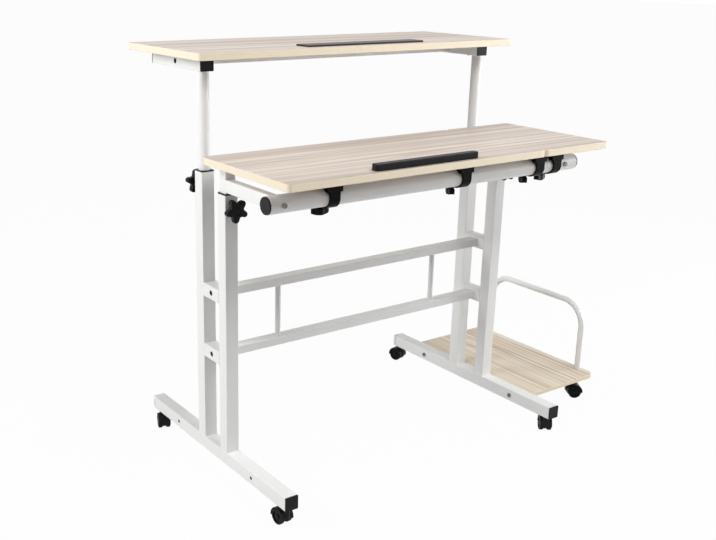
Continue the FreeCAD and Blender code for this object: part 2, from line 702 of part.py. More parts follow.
def strap(x):
    """The lower half of a clamp: a quarter ring in front of the pipe and a plate below it."""
    start = (f"{x} - clamp_half", "0", "0")
    outer, inner = (rod(radius, "2 * clamp_half", start, "x") for radius in (STRAP_OUTER, STRAP_INNER))
    ring = cut(outer, [inner])
    quarter = block(("2 * clamp_half", STRAP_OUTER, STRAP_OUTER),
                    (f"{x} - clamp_half", f"-({STRAP_OUTER})", f"-({STRAP_OUTER})"))
    plate = block(("2 * clamp_half", "clamp_back", "clamp_band"),
                  (f"{x} - clamp_half", "0", f"-({STRAP_OUTER})"))
    hole = rod("pipe_screw_hole", "2 * clamp_bolt_bottom", (x, "clamp_bolt_y", "-2 * clamp_bolt_bottom"))
    return cut(join([common(ring, quarter), plate]), [hole])


def clamp_hardware(x):
    """The clamp's bolt and the two screws in its upper block."""
    stud_length = "clamp_bolt_top + clamp_bolt_bottom - slack"
    stud = rod("pipe_screw", stud_length, (x, "clamp_bolt_y", "-clamp_bolt_bottom"))
    under = f"{PANEL_RISE} - flange_thick"
    shanks = clamp_screw_rods(x, "screw_radius", under, "flange_thick + screw_bite")
    heads = clamp_screw_rods(x, "screw_head", f"{under} - screw_head_height", "screw_head_height")
    return [stud] + [join(pair) for pair in zip(shanks, heads)]


def wing_knob(name, x, turn):
    """A nut with two wings that curve up to their ends, turning on a clamp's bolt."""
    hub = doc.addObject("Part::Cone", "hub")
    bind(hub, "Radius1", "wing_hub_low")
    bind(hub, "Radius2", "wing_hub")
    bind(hub, "Height", "wing_height")
    ends = ("wing_round", "wing_round")
    slab = board("2 * wing_reach", "wing_thick", "wing_height - wing_drop", ends, "edge_round", lower_edge=False)
    wings = common(slab, rod("wing_keel", "2 * wing_thick", ("0", "-wing_thick", "wing_keel"), "y"))
    bore = rod("wing_bore", "wing_height", ("0", "0", "0"))
    node(cut(join([hub, wings]), [bore]), f"wing_knob_{name}", f"mid_x + {x}", "mid_y + pipe_y + clamp_bolt_y",
         "pipe_z - wing_top - wing_height", FreeCAD.Rotation(UP, turn))


for panel in ("main", "side"):
    clamps = [f"{panel}_clamp_left", f"{panel}_clamp_right"]
    at_pipe = ("mid_x", "mid_y + pipe_y", "pipe_z")
    node(group([saddle(x) for x in clamps]), f"{panel}_clamp_saddles", *at_pipe)
    node(group([strap(x) for x in clamps]), f"{panel}_clamp_straps", *at_pipe)
    node(group(clamp_hardware(clamps[0]) + clamp_hardware(clamps[1])), f"{panel}_clamp_hardware", *at_pipe)
for entry in WING_KNOBS:
    wing_knob(*entry)


# Desk panels and the stop bar

BOARD_CORNERS = ("board_round", "board_round")


def groove(name, x, y, board_top):
    """The room that a strip takes up in a board's top."""
    width, depth = f"{name}_width + 2 * slack", f"{name}_depth + 2 * slack"
    room = bar(width, depth, "2 * groove", f"{name}_round + slack")
    place(room, x, y, f"{board_top} - groove")
    return room


def strip(name, edge):
    """A strip with rounded ends and upper edges, drawn upwards from its groove's floor."""
    corners = (f"{name}_round", f"{name}_round")
    return board(f"{name}_width", f"{name}_depth", f"{name}_height + groove", corners, edge, lower_edge=False)


def panel(name, left, width, clamps, grooves=()):
    """A desk board with pilot holes for its clamps' screws."""
    slab = board(width, "panel_depth", "panel_thick", BOARD_CORNERS, "edge_round")
    place(slab, f"{left} + {width} / 2", "panel_front + panel_depth / 2", "panel_bottom")
    pilots = []
    for x in clamps:
        for side, sign in SIDES:
            start = (f"{x} + {sign} * clamp_screw_x", "pipe_y + clamp_screw_y", "panel_bottom")
            pilots.append(rod("screw_hole", "screw_bite + slack", start))
    node(cut(slab, [*pilots, *grooves]), name)


PANEL_TOP = "panel_bottom + panel_thick"
STOP_Y = "panel_front + stop_inset + stop_depth / 2"
main_groove = groove("stop", "stop_x", STOP_Y, PANEL_TOP)
panel("main_panel", "panel_left", "main_width", ("main_clamp_left", "main_clamp_right"), [main_groove])
panel("side_panel", "panel_left + main_width + seam", "side_width", ("side_clamp_left", "side_clamp_right"))
node(strip("stop", "stop_edge"), "stop_bar", "mid_x + stop_x", f"mid_y + {STOP_Y}", f"{PANEL_TOP} - groove")


# Shelf carriage: inner tubes, glides, brackets, their rail, shelf and ledge

BRACKET_BOTTOM = "shelf_bottom - bracket_height"
BRACKET_MIDDLE = "shelf_bottom - bracket_height / 2"
BRACKET_BACK = "bracket_front + bracket_length"
BRACKET_ENDS = [("bracket_front - bracket_cap", "bracket_front"),
                (BRACKET_BACK, f"{BRACKET_BACK} - cap_plug")]
BRACKET_SCREWS = ("bracket_screw_front", "bracket_screw_back")


def shelf_inner_tube(sign):
    """The round tube that slides in a rear post."""
    start = (f"{sign} * leg_x", "post_y", "shelf_tube_bottom")
    length = f"{BRACKET_BOTTOM} - shelf_tube_bottom"
    return cut(rod("shelf_tube_radius", length, start), [rod("shelf_tube_radius - wall", length, start)])


def shelf_glide(sign):
    """The plastic foot of that tube."""
    x = f"{sign} * leg_x"
    flange = rod("tube / 2 - wall - glide_gap", "glide", (x, "post_y", "shelf_tube_bottom - glide"))
    plug = rod("shelf_tube_radius - wall - slack", "glide_plug", (x, "post_y", "shelf_tube_bottom"))
    return join([flange, plug])


def bracket(sign):
    """The tube under the shelf, drilled for its screws and for the bolt of the rail between the brackets."""
    x = f"{sign} * leg_x"
    tube = bar("tube", "bracket_height", "bracket_length", "tube_round", hollow=True)
    place(tube, x, "bracket_front", BRACKET_MIDDLE, TURN_TO["y"])
    holes = rail_bolt_holes(sign, "shelf_rail_y", BRACKET_MIDDLE)
    holes += [rod("screw_hole", "2 * bracket_height", (x, y, "shelf_bottom - 3 * bracket_height / 2"))
              for y in BRACKET_SCREWS]
    return cut(tube, holes)


def bracket_cap(sign, plate_y, plug_y):
    """A rectangular cap in an end of a bracket."""
    plate = bar("tube", "bracket_height", "bracket_cap", "tube_round")
    place(plate, f"{sign} * leg_x", plate_y, BRACKET_MIDDLE, TURN_TO["y"])
    size = ("tube - 2 * wall - 2 * slack", "cap_plug", "bracket_height - 2 * wall - 2 * slack")
    corner = (f"{sign} * leg_x - tube / 2 + wall + slack", plug_y, f"{BRACKET_BOTTOM} + wall + slack")
    return join([plate, block(size, corner)])


def shelf_screw(sign, y):
    """A wood screw up through a bracket into the shelf."""
    x = f"{sign} * leg_x"
    head = rod("screw_head", "screw_head_height", (x, y, f"{BRACKET_BOTTOM} - screw_head_height"))
    shank = rod("screw_radius", "bracket_height + screw_bite", (x, y, BRACKET_BOTTOM))
    return join([head, shank])


node(group([shelf_inner_tube(sign) for side, sign in SIDES]), "shelf_inner_tubes")
node(group([shelf_glide(sign) for side, sign in SIDES]), "shelf_tube_glides")
node(group([bracket(sign) for side, sign in SIDES]), "shelf_brackets")
node(group([bracket_cap(sign, *end) for side, sign in SIDES for end in BRACKET_ENDS]), "bracket_caps")
node(rail("shelf_rail_y", BRACKET_MIDDLE), "shelf_rail")
screws = [shelf_screw(sign, y) for side, sign in SIDES for y in BRACKET_SCREWS]
node(group(screws + rail_bolts("shelf_rail_y", BRACKET_MIDDLE)), "shelf_fasteners")

shelf = board("shelf_width", "shelf_depth", "panel_thick", BOARD_CORNERS, "edge_round", along="y")
place(shelf, "0", "shelf_front + shelf_depth / 2", "shelf_bottom")
pilots = [rod("screw_hole", "screw_bite + slack", (f"{sign} * leg_x", y, "shelf_bottom"))
          for side, sign in SIDES for y in BRACKET_SCREWS]
SHELF_TOP = "shelf_bottom + panel_thick"
LEDGE_Y = "ledge_front + ledge_depth / 2"
node(cut(shelf, pilots + [groove("ledge", "ledge_x", LEDGE_Y, SHELF_TOP)]), "shelf_board")
ledge = strip("ledge", "edge_round")
node(ledge, "shelf_ledge", "mid_x + ledge_x", f"mid_y + {LEDGE_Y}", f"{SHELF_TOP} - groove")


# Star knobs that press on the inner tubes

def star_knob(name, x, end, top, turn):
    """A five-lobed knob on a threaded stud, drawn with its axis along Z and its star outward."""
    neck = rod("star_neck", "star_neck_length", ("0", "0", "star_start"))
    star_bottom = "star_start + star_neck_length"
    middle = rod("star_hub", "star_thick", ("0", "0", star_bottom))
    lobes = []
    for number in range(STAR_LOBES):
        lobe = rod("star_lobe", "star_thick", ("0", "0", "0"))
        spoke = block(("star_reach", "2 * star_lobe", "star_thick"), ("-star_reach", "-star_lobe", "0"))
        petal = join([lobe, spoke])
        direction = FreeCAD.Rotation(UP, turn + 360 * number / STAR_LOBES)
        reach = direction.multVec(FreeCAD.Vector(1, 0, 0))
        place(petal, f"{reach.x:.6f} * star_reach", f"{reach.y:.6f} * star_reach", star_bottom, direction)
        lobes.append(petal)
    dish = rod("star_dish", "star_dish_depth", ("0", "0", f"{star_bottom} + star_thick - star_dish_depth"))
    inner = "desk_tube / 2" if end == "-1" else "shelf_tube_radius"
    depth = f"tube / 2 + nut_length - ({inner}) - stud_gap"
    stud = rod("stud_radius", f"{depth} + stud_root", ("0", "0", f"-({depth})"))
    outward = FreeCAD.Rotation(FreeCAD.Vector(1, 0, 0), 90 if end == "-1" else -90)
    node(join([cut(join([neck, middle] + lobes), [dish]), stud]), f"star_knob_{name}", f"mid_x + {x}",
         f"mid_y + {end} * (post_y + tube / 2 + nut_length)", f"{top} + rim - lock_drop", outward)


for entry in STAR_KNOBS:
    star_knob(*entry)


# Stand for a computer case: board, rails, guard hoop and screws

STAND_INNER = "leg_x + tube / 2"
STAND_BOTTOM = "foot_z + tube - stand_thick"
STAND_WIDTH = f"stand_outer - ({STAND_INNER}) - stand_gap"
ENDS = ("-1", "1")


def stand_rail(end):
    """A tube across the stand, bolted to the foot and open below under each screw."""
    length = f"stand_outer - stand_rail_inset - ({STAND_INNER})"
    height = f"{STAND_BOTTOM} - foot_z"
    y = f"{end} * bolt_y"
    outer = bar(height, "stand_rail", length, "desk_tube_round")
    place(outer, STAND_INNER, y, f"foot_z + ({height}) / 2", TURN_TO["x"])
    size = (f"{length} - rail_end - wall", "stand_rail - 2 * wall", f"{height} - 2 * wall")
    hollow = block(size, (f"{STAND_INNER} + rail_end", f"{y} - stand_rail / 2 + wall", "foot_z + wall"))
    holes = [rod("bolt_hole", "2 * rail_end", (f"{STAND_INNER} - rail_end / 2", y, "foot_z + tube / 2"), "x"),
             rod("bolt_hole", "3 * wall", ("stand_stem_x", y, "foot_z - wall"))]
    for x in ("stand_screw_x", "guard_x"):
        holes.append(rod("screw_hole", "3 * wall", (x, y, f"{STAND_BOTTOM} - 2 * wall")))
        holes.append(rod("access_hole", "3 * wall", (x, y, "foot_z - wall")))
    return cut(outer, [hollow] + holes)


def stand_screws(end):
    """The screws inside a rail: one holds the board, one goes on into the guard's foot."""
    seat = f"{STAND_BOTTOM} - wall"
    lengths = {"stand_screw_x": "wall + 2 * stand_thick / 3", "guard_x": "wall + guard_bite"}
    screws = []
    for x, length in lengths.items():
        head = rod("screw_head", "screw_head_height", (x, f"{end} * bolt_y", f"{seat} - screw_head_height"))
        screws.append(join([head, rod("screw_radius", length, (x, f"{end} * bolt_y", seat))]))
    return screws


def hoop(radius, foot_height):
    """The guard's two legs, two bends and upper run as one round bar."""
    pieces = [rod(radius, "2 * (bolt_y - guard_bend)", ("guard_x", "guard_bend - bolt_y", "guard_top"), "y")]
    for end in ENDS:
        leg_start = ("guard_x", f"{end} * bolt_y", foot_height)
        pieces.append(rod(radius, f"guard_top - guard_bend - ({foot_height})", leg_start))
        bend = doc.addObject("Part::Torus", "bend")
        bind(bend, "Radius1", "guard_bend")
        bind(bend, "Radius2", radius)
        bend.Angle3 = 90
        about_y = FreeCAD.Rotation(FreeCAD.Vector(0, 1, 0), -90)
        about_x = FreeCAD.Rotation(FreeCAD.Vector(1, 0, 0), 0 if end == "1" else 90)
        turn = about_x.multiply(about_y)
        place(bend, "guard_x", f"{end} * (bolt_y - guard_bend)", "guard_top - guard_bend", turn)
        pieces.append(bend)
    return join(pieces)


def guard():
    """A bent tube along the stand's outer edge, standing on the rails and closed there round the screws."""
    pilots = [rod("screw_hole", "guard_plug", ("guard_x", f"{end} * bolt_y", STAND_BOTTOM)) for end in ENDS]
    bore = hoop("guard_radius - wall", f"{STAND_BOTTOM} + guard_plug")
    return cut(hoop("guard_radius", STAND_BOTTOM), [bore] + pilots)


slab = board(STAND_WIDTH, "stand_depth", "stand_thick", ("tube_round", "stand_round"), "edge_round")
place(slab, f"stand_outer - ({STAND_WIDTH}) / 2", "0", STAND_BOTTOM)
holes = []
for end in ENDS:
    holes.append(rod("guard_radius + slack", "2 * stand_thick", ("guard_x", f"{end} * bolt_y", STAND_BOTTOM)))
    holes.append(rod("screw_hole", "3 * stand_thick / 4", ("stand_screw_x", f"{end} * bolt_y", STAND_BOTTOM)))
node(cut(slab, holes), "stand_board")
node(group([stand_rail(end) for end in ENDS]), "stand_rails")
node(group(stand_screws("-1") + stand_screws("1")), "stand_screws")
node(guard(), "stand_guard")


# Casters: stem, housing with hood, and twin wheels on an axle

def caster_stem(x, y):
    """The fixed pin of a caster, with a collar under the tube."""
    pin = rod("stem_radius", "stem_high - stem_low", (x, y, "stem_low"))
    collar = rod("collar_radius", "collar_height", (x, y, "foot_z - collar_height"))
    return join([pin, collar])


def caster_housing():
    """The swivel boss, the hood over the wheels and the round web between them, as one moulding."""
    shell = rod("hood_radius", "2 * wheel_outer", ("-wheel_outer", "trail", "wheel_radius"), "x")
    boss = rod("collar_radius", "boss_top - wheel_radius", ("0", "0", "wheel_radius"))
    room = "wheel_radius + hood_gap"
    tools = [rod(room, "wheel_outer", (start, "trail", "wheel_radius"), "x")
             for start in ("web_half", "-web_half - wheel_outer")]
    tools.append(block(("4 * hood_radius", "4 * hood_radius", "hood_radius + hood_bottom"),
                       ("-2 * hood_radius", "-2 * hood_radius", "-hood_radius")))
    hood = cut(join([shell, boss]), tools)
    web = rod("web_radius", "2 * web_half", ("-web_half", "trail", "wheel_radius"), "x")
    axle_start = ("-2 * web_half", "trail", "wheel_radius")
    axle_hole = rod("axle_radius + pivot_gap", "4 * web_half", axle_start, "x")
    stem_start = ("0", "0", "stem_low - pivot_gap")
    stem_hole = rod("stem_radius + pivot_gap", "foot_z - stem_low + pivot_gap", stem_start)
    return cut(join([hood, web]), [axle_hole, stem_hole])


def caster_wheels():
    """Two wheels with dished faces, pressed on one axle."""
    axle_start = ("wheel_dish_depth / 2 - wheel_outer", "trail", "wheel_radius")
    pieces = [rod("axle_radius", "2 * wheel_outer - wheel_dish_depth", axle_start, "x")]
    for inner, dish in (("wheel_inner", "wheel_outer - wheel_dish_depth"), ("-wheel_outer", "-wheel_outer")):
        disc = rod("wheel_radius", "wheel_outer - wheel_inner", (inner, "trail", "wheel_radius"), "x")
        doc.recompute()
        tread = doc.addObject("Part::Fillet", "tread")
        tread.Base = disc
        rounding = sheet.get("wheel_round")
        tread.Edges = [(number, rounding, rounding) for number, edge in enumerate(disc.Shape.Edges, 1)
                       if edge.Closed and edge.Curve.TypeId == "Part::GeomCircle"]
        ring = cut(rod("wheel_dish", "wheel_dish_depth", (dish, "trail", "wheel_radius"), "x"),
                   [rod("wheel_hub", "wheel_dish_depth", (dish, "trail", "wheel_radius"), "x")])
        pieces.append(cut(tread, [ring]))
    return join(pieces)


node(group([caster_stem(x, y) for name, x, y, angle in CASTERS]), "caster_stems")
for name, x, y, angle in CASTERS:
    swivel = FreeCAD.Rotation(UP, angle)
    node(caster_housing(), f"caster_housing_{name}", f"mid_x + {x}", f"mid_y + {y}", "0", swivel)
    node(caster_wheels(), f"caster_wheels_{name}", f"mid_x + {x}", f"mid_y + {y}", "0", swivel)


# Build, test and write every sub-part

doc.recompute()
for item in doc.Objects:
    if "Invalid" in item.State or "Error" in item.State:
        raise RuntimeError(f"{item.Name} ({item.Label}) failed: {item.State}")
os.makedirs("parts", exist_ok=True)
for item in nodes:
    shape = item.Shape
    if shape.isNull() or not shape.isValid() or not shape.Solids:
        raise RuntimeError(f"{item.Label} has no valid solid")
for item in nodes:
    item.Shape.exportStep(f"parts/{item.Label}.step")
    box = item.Shape.BoundBox
    print(f"{item.Label:28s} {len(item.Shape.Solids)} solids, {item.Shape.Volume / 1000:8.1f} cm3,"
          f" X {box.XMin:.1f} {box.XMax:.1f} Y {box.YMin:.1f} {box.YMax:.1f} Z {box.ZMin:.1f} {box.ZMax:.1f}")
print(len(nodes), "nodes")
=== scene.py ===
import json
import math

import bmesh
import bpy
from mathutils import Matrix, Vector


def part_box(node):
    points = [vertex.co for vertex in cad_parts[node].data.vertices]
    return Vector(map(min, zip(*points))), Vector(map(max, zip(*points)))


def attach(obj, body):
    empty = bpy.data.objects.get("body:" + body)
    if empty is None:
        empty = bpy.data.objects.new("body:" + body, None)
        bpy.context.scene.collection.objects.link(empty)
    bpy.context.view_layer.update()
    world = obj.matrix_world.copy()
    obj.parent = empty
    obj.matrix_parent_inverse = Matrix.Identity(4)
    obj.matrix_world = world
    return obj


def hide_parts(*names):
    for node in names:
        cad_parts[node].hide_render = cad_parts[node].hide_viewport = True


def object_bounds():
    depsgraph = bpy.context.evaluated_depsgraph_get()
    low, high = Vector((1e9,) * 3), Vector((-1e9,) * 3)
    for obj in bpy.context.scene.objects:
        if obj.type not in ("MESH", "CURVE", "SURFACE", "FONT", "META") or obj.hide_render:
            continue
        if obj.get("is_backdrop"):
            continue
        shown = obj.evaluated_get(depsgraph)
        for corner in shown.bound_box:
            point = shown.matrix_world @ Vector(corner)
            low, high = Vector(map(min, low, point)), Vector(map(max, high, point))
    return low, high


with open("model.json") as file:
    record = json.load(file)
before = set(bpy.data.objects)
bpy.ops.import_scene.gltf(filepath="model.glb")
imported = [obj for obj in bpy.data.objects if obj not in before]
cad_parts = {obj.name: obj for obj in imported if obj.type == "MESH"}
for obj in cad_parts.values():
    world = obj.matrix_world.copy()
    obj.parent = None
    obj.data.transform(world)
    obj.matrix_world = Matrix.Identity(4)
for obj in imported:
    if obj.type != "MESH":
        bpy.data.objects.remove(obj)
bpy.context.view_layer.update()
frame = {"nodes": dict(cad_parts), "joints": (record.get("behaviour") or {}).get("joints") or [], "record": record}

MM = 0.001
IMAGE_WIDTH, IMAGE_HEIGHT = 716, 540

# Camera, fitted to the photograph
CAMERA_PLACE = Vector((-1.5583, -1.8010, 1.1531))
CAMERA_YAW = math.radians(34.07)
CAMERA_PITCH = math.radians(16.83)
CAMERA_ROLL = math.radians(0.57)
FOCAL_PIXELS = 978.53
AXIS_X, AXIS_Y = 283.94, 260.94
SENSOR_WIDTH = 36.0
CAMERA_REACH = 100.0

# Colours, linear
WHITE_PAINT = (0.86, 0.86, 0.85)
WHITE_PLASTIC = (0.80, 0.80, 0.79)
BLACK_PLASTIC = (0.012, 0.012, 0.013)
DEEP_BLACK_PLASTIC = (0.006, 0.006, 0.006)
BLACK_NYLON = (0.009, 0.009, 0.010)
# Painted shade: zinc darkened far below the bright metal, standing for the shade in screw recesses and their dark
# reflections
ZINC_WITH_PAINTED_SHADE = (0.23, 0.22, 0.21)
BROWN_STRIP = (0.030, 0.018, 0.012)
FLOOR_DARK, FLOOR_PALE = 0.61, 0.63

# Wood colours: dark, middle and pale tone, thin lines, and the band round the edge
PALE_TONES = ((0.54, 0.45, 0.39), (0.71, 0.62, 0.55), (0.80, 0.71, 0.62))
PALE_LINE, PALE_EDGE = (0.34, 0.26, 0.22), (0.91, 0.80, 0.62)
STAND_TONES = ((0.62, 0.49, 0.36), (0.76, 0.66, 0.52), (0.83, 0.75, 0.63))
STAND_LINE, STAND_EDGE = (0.28, 0.19, 0.14), (0.80, 0.69, 0.50)

# Textures: waves per metre
COAT_CLOUD, COAT_PEEL = 9.0, 700.0
PLASTIC_CLOUD, PLASTIC_GRAIN = 60.0, 1400.0
BRUSH_STRETCH, BRUSH_STREAK = (40, 400, 400), 3.0
EDGE_SPECKLE, FLOOR_CLOUD = 140.0, 3.0

# Textures: depth of the relief and how strongly it shows
PEEL_DEPTH, PEEL_SHOW = 0.4 * MM, 0.10
GRAIN_DEPTH, GRAIN_SHOW = 0.3 * MM, 0.15
BRUSH_DEPTH, BRUSH_SHOW = 0.2 * MM, 0.10
PORE_DEPTH, PORE_SHOW = 0.3 * MM, 0.12

# Wood: waves per metre across and along the grain
BROAD_GRAIN, STREAK_GRAIN, THIN_GRAIN = (19.0, 0.55), (75.0, 0.8), (150.0, 0.7)
RING_GRAIN, FADE_GRAIN, PORE_GRAIN = (24.0, 0.6), (30.0, 2.2), (700.0, 12.0)


# Node helpers

# Sockets for colours on a mix node
MIX_INPUTS, MIX_OUTPUT = (0, 6, 7), 2


class Tree:
    """A material's node tree, with short calls to add and link nodes."""

    def __init__(self, name):
        self.material = bpy.data.materials.new(name)
        self.material.use_nodes = True
        self.nodes = self.material.node_tree.nodes
        self.links = self.material.node_tree.links
        self.shader = self.nodes["Principled BSDF"]

    def add(self, kind, **settings):
        node = self.nodes.new(kind)
        for key, value in settings.items():
            setattr(node, key, value)
        return node

    def link(self, source, target):
        self.links.new(source, target)

    def coordinates(self, scale=(1, 1, 1)):
        """Object coordinates in metres, stretched by a scale."""
        source = self.add("ShaderNodeTexCoord")
        mapping = self.add("ShaderNodeMapping")
        mapping.inputs["Scale"].default_value = scale
        self.link(source.outputs["Object"], mapping.inputs["Vector"])
        return mapping.outputs["Vector"]

    def noise(self, vector, scale, detail=3.0, roughness=0.55, distortion=0.0):
        node = self.add("ShaderNodeTexNoise")
        node.inputs["Scale"].default_value = scale
        node.inputs["Detail"].default_value = detail
        node.inputs["Roughness"].default_value = roughness
        node.inputs["Distortion"].default_value = distortion
        self.link(vector, node.inputs["Vector"])
        return node.outputs["Fac"]

    def ramp(self, factor, stops):
        """A colour ramp through (position, colour) stops."""
        node = self.add("ShaderNodeValToRGB")
        elements = node.color_ramp.elements
        while len(elements) < len(stops):
            elements.new(0.5)
        for element, (position, colour) in zip(elements, stops):
            element.position = position
            element.color = (*colour, 1.0)
        self.link(factor, node.inputs["Fac"])
        return node.outputs["Color"]

    def span(self, factor, low, high):
        """A value from 0..1 spread over a range."""
        node = self.add("ShaderNodeMapRange")
        node.inputs["To Min"].default_value = low
        node.inputs["To Max"].default_value = high
        self.link(factor, node.inputs["Value"])
        return node.outputs["Result"]

    def mix(self, factor, first, second):
        """A blend of two colours; the second may be a plain colour."""
        node = self.add("ShaderNodeMix", data_type="RGBA")
        factor_socket, first_socket, second_socket = (node.inputs[index] for index in MIX_INPUTS)
        self.link(factor, factor_socket)
        self.link(first, first_socket)
        if isinstance(second, tuple):
            second_socket.default_value = (*second, 1.0)
        else:
            self.link(second, second_socket)
        return node.outputs[MIX_OUTPUT]

    def math(self, operation, *values):
        node = self.add("ShaderNodeMath", operation=operation)
        for value, socket in zip(values, node.inputs):
            self.link(value, socket)
        return node.outputs[0]

    def bump(self, height, strength, distance):
        node = self.add("ShaderNodeBump")
        node.inputs["Strength"].default_value = strength
        node.inputs["Distance"].default_value = distance
        self.link(height, node.inputs["Height"])
        self.link(node.outputs["Normal"], self.shader.inputs["Normal"])


def shade(colour, factor):
    return tuple(channel * factor for channel in colour)


def grey(level):
    return (level, level, level)


BLACK, WHITE = grey(0), grey(1)


# Materials

def powder_coat(name, colour):
    """White paint with a fine orange-peel texture and faint cloudiness."""
    tree = Tree(name)
    cloud = tree.noise(tree.coordinates(), COAT_CLOUD)
    tint = tree.ramp(cloud, [(0.3, shade(colour, 0.975)), (0.7, colour)])
    tree.link(tint, tree.shader.inputs["Base Color"])
    peel = tree.noise(tree.coordinates(), COAT_PEEL, detail=2.0)
    tree.link(tree.span(peel, 0.34, 0.46), tree.shader.inputs["Roughness"])
    tree.bump(peel, PEEL_SHOW, PEEL_DEPTH)
    return tree.material


def moulded_plastic(name, colour, smooth, rough, gloss):
    """Moulded plastic with a fine spark-eroded grain."""
    tree = Tree(name)
    tree.shader.inputs["Specular IOR Level"].default_value = gloss
    cloud = tree.noise(tree.coordinates(), PLASTIC_CLOUD)
    tint = tree.ramp(cloud, [(0.3, shade(colour, 0.8)), (0.7, shade(colour, 1.25))])
    tree.link(tint, tree.shader.inputs["Base Color"])
    grain = tree.noise(tree.coordinates(), PLASTIC_GRAIN, detail=2.0)
    tree.link(tree.span(grain, smooth, rough), tree.shader.inputs["Roughness"])
    tree.bump(grain, GRAIN_SHOW, GRAIN_DEPTH)
    return tree.material


def zinc_plate_with_painted_shade(name):
    """Zinc with a faint brushed grain, its colour darkened well below the bright metal as painted shade for
    shaded, recessed screw heads.
    """
    tree = Tree(name)
    tree.shader.inputs["Metallic"].default_value = 1.0
    streak = tree.noise(tree.coordinates(BRUSH_STRETCH), BRUSH_STREAK)
    tint = tree.ramp(streak, [(0.25, shade(ZINC_WITH_PAINTED_SHADE, 0.75)), (0.75, ZINC_WITH_PAINTED_SHADE)])
    tree.link(tint, tree.shader.inputs["Base Color"])
    tree.link(tree.span(streak, 0.22, 0.42), tree.shader.inputs["Roughness"])
    tree.bump(streak, BRUSH_SHOW, BRUSH_DEPTH)
    return tree.material


def wood_board(name, along_y, tones, line, line_strength, edge):
    """Printed wood grain on the flat faces, with a plain band round the edge."""
    tree = Tree(name)

    def grain(waves, **settings):
        across, along = waves
        scale = (across, along, across) if along_y else (along, across, across)
        return tree.noise(tree.coordinates(scale), 1.0, **settings)

    dark, middle, pale = tones
    broad = grain(BROAD_GRAIN, detail=3.0, distortion=0.3)
    colour = tree.ramp(broad, [(0.34, dark), (0.46, middle), (0.56, pale), (0.68, middle)])
    streak = grain(STREAK_GRAIN, detail=4.0, roughness=0.6)
    streak_mask = tree.ramp(streak, [(0.45, BLACK), (0.62, grey(0.8))])
    colour = tree.mix(streak_mask, colour, dark)
    thin = grain(THIN_GRAIN, detail=2.0)
    thin_mask = tree.ramp(thin, [(0.56, BLACK), (0.68, grey(0.45))])
    colour = tree.mix(thin_mask, colour, line)
    rings = grain(RING_GRAIN, detail=1.0, distortion=0.5)
    contour = tree.ramp(rings, [(0.475, BLACK), (0.500, WHITE), (0.515, BLACK)])
    fade = tree.span(grain(FADE_GRAIN, detail=1.0), 0.0, line_strength)
    line_mask = tree.math("MULTIPLY", contour, fade)
    colour = tree.mix(line_mask, colour, line)
    pores = grain(PORE_GRAIN, detail=2.0)
    pore_mask = tree.ramp(pores, [(0.55, BLACK), (0.75, grey(0.22))])
    colour = tree.mix(pore_mask, colour, line)

    normal = tree.add("ShaderNodeTexCoord")
    axes = tree.add("ShaderNodeSeparateXYZ")
    tree.link(normal.outputs["Normal"], axes.inputs[0])
    upright = tree.math("ABSOLUTE", axes.outputs["Z"])
    is_edge = tree.ramp(upright, [(0.55, WHITE), (0.75, BLACK)])
    speckle = tree.noise(tree.coordinates(), EDGE_SPECKLE)
    edge_colour = tree.ramp(speckle, [(0.35, shade(edge, 0.97)), (0.65, edge)])
    tree.link(tree.mix(is_edge, colour, edge_colour), tree.shader.inputs["Base Color"])
    tree.link(tree.span(streak, 0.36, 0.54), tree.shader.inputs["Roughness"])
    tree.bump(pores, PORE_SHOW, PORE_DEPTH)
    return tree.material


SLOT_MATERIALS = {
    "white_steel": powder_coat("white_powder_coat", WHITE_PAINT),
    "white_plastic": moulded_plastic("white_moulded_plastic", WHITE_PLASTIC,
                                     smooth=0.35, rough=0.5, gloss=0.5),
    "black_plastic": moulded_plastic("black_moulded_plastic", BLACK_PLASTIC,
                                     smooth=0.26, rough=0.42, gloss=0.12),
    "caster_tread": moulded_plastic("black_nylon", BLACK_NYLON, smooth=0.28, rough=0.45, gloss=0.07),
    "zinc_steel": zinc_plate_with_painted_shade("zinc_plate_with_painted_shade"),
    "pale_board": wood_board("pale_whitewashed_board", along_y=False, tones=PALE_TONES,
                             line=PALE_LINE, line_strength=0.9, edge=PALE_EDGE),
    "stand_board": wood_board("stand_wood_board", along_y=True, tones=STAND_TONES,
                              line=STAND_LINE, line_strength=1.0, edge=STAND_EDGE),
    "brown_strip": moulded_plastic("brown_plastic_strip", BROWN_STRIP, smooth=0.3, rough=0.5, gloss=0.2),
}

# Star knobs are glossier, clamps and wing knobs duller than the other black plastic
KNOB_PLASTIC = moulded_plastic("glossy_black_plastic", DEEP_BLACK_PLASTIC,
                               smooth=0.16, rough=0.26, gloss=0.11)
CLAMP_PLASTIC = moulded_plastic("deep_black_plastic", DEEP_BLACK_PLASTIC,
                                smooth=0.3, rough=0.45, gloss=0.05)
CLAMP_PIECES = ("main_clamp_saddles", "main_clamp_straps", "side_clamp_saddles", "side_clamp_straps")

for entry in frame["record"]["subparts"]:
    node = frame["nodes"][entry["node"]]
    node.data.materials.clear()
    material = SLOT_MATERIALS[entry["material_slot"]]
    if entry["node"] in CLAMP_PIECES:
        material = CLAMP_PLASTIC
    node.data.materials.append(material)


# Softened edges

FLAT_WITHIN, SHARP_ABOVE = math.radians(1), math.radians(40)
EDGE_SEGMENTS = 3


def soften(node_name, width):
    """Round the sharp edges of a moulded piece a little, as its mould would."""
    node = frame["nodes"][node_name]
    flat = node.modifiers.new("flat_faces", "DECIMATE")
    flat.decimate_type = "DISSOLVE"
    flat.angle_limit = FLAT_WITHIN
    rounding = node.modifiers.new("rounded_edges", "BEVEL")
    rounding.width = width
    rounding.segments = EDGE_SEGMENTS
    rounding.limit_method = "ANGLE"
    rounding.angle_limit = SHARP_ABOVE
    rounding.harden_normals = True


